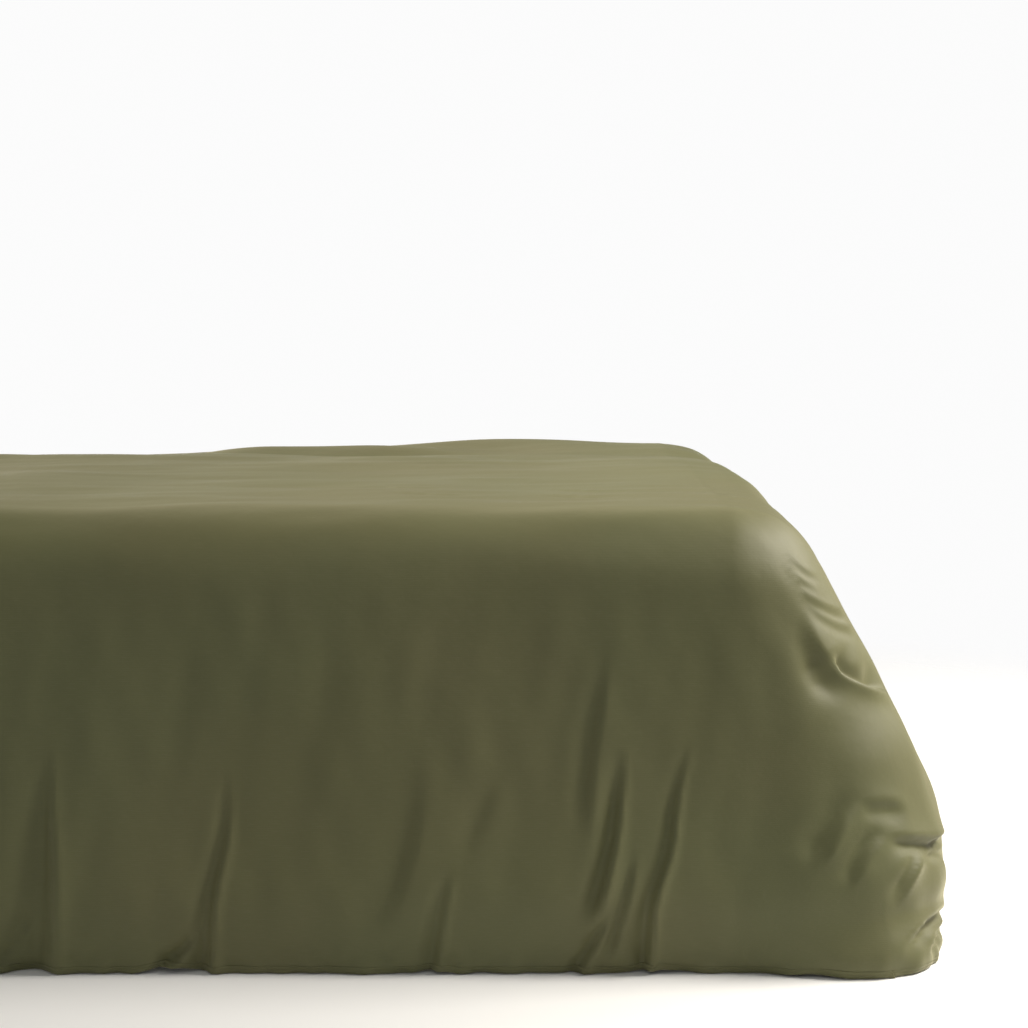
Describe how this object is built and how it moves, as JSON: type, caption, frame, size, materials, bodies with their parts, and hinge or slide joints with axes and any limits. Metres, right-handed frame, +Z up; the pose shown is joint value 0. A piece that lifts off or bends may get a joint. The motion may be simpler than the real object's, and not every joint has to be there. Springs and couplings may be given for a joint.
{
  "type": "duvet",
  "caption": "Filled duvet in a zipped cover, shaped as it lies over a bed: flat top, sides and foot end hanging to the floor, hollow below, with a sliding zip and a swinging pull.",
  "frame": {"origin": "on the floor under the middle of the draped duvet", "axes": "+X towards the foot end, +Y across the bed to the right as seen from the foot end, +Z up"},
  "size_m": [1.9026, 1.7496, 0.55],
  "materials": {
    "cover_fabric": "olive sateen, soft sheen",
    "insert_fabric": "matte off-white percale",
    "filling": "lofty off-white fibre",
    "cotton_tape": "matte woven tape",
    "zip_tape": "matte woven tape",
    "zip_coil": "satin nylon",
    "zip_metal": "aged satin",
    "label_fabric": "blank white satin ribbon"
  },
  "bodies": {
    "duvet": {"cover_face_panel": "cover_fabric", "cover_under_panel": "cover_fabric", "cover_foot_facing": "cover_fabric", "edge_binding_left": "cover_fabric", "edge_binding_right": "cover_fabric", "edge_binding_head": "cover_fabric", "edge_binding_foot": "cover_fabric", "insert_face_shell": "insert_fabric", "insert_under_shell": "insert_fabric", "insert_piping_left": "insert_fabric", "insert_piping_right": "insert_fabric", "insert_piping_head": "insert_fabric", "insert_piping_foot": "insert_fabric", "fill_r1_c1": "filling", "fill_r1_c2": "filling", "fill_r1_c3": "filling", "fill_r1_c4": "filling", "fill_r1_c5": "filling", "fill_r2_c1": "filling", "fill_r2_c2": "filling", "fill_r2_c3": "filling", "fill_r2_c4": "filling", "fill_r2_c5": "filling", "fill_r3_c1": "filling", "fill_r3_c2": "filling", "fill_r3_c3": "filling", "fill_r3_c4": "filling", "fill_r3_c5": "filling", "fill_r4_c1": "filling", "fill_r4_c2": "filling", "fill_r4_c3": "filling", "fill_r4_c4": "filling", "fill_r4_c5": "filling", "cover_tie_head_left": "cotton_tape", "insert_loop_head_left": "cotton_tape", "cover_tie_head_right": "cotton_tape", "insert_loop_head_right": "cotton_tape", "cover_tie_foot_left": "cotton_tape", "insert_loop_foot_left": "cotton_tape", "cover_tie_foot_right": "cotton_tape", "insert_loop_foot_right": "cotton_tape", "zip_tape_upper": "zip_tape", "zip_coil_upper": "zip_coil", "zip_top_stop_upper": "zip_metal", "zip_tape_lower": "zip_tape", "zip_coil_lower": "zip_coil", "zip_top_stop_lower": "zip_metal", "zip_bottom_stop": "zip_metal", "care_label": "label_fabric"},
    "slider": {"zip_slider": "zip_metal"},
    "pull": {"zip_pull": "zip_metal"}
  },
  "joints": [
    {"name": "zip_slide", "type": "slide", "parent": "duvet", "child": "slider", "axis": [0, 1, 0], "range_m": [0, 1.168]},
    {"name": "pull_swing", "type": "hinge", "parent": "slider", "child": "pull", "pos_m": [0.9126, -0.5843, 0.06093], "axis": [-0.3051, 0, 0.9523], "range_deg": [0, 180]}
  ]
}
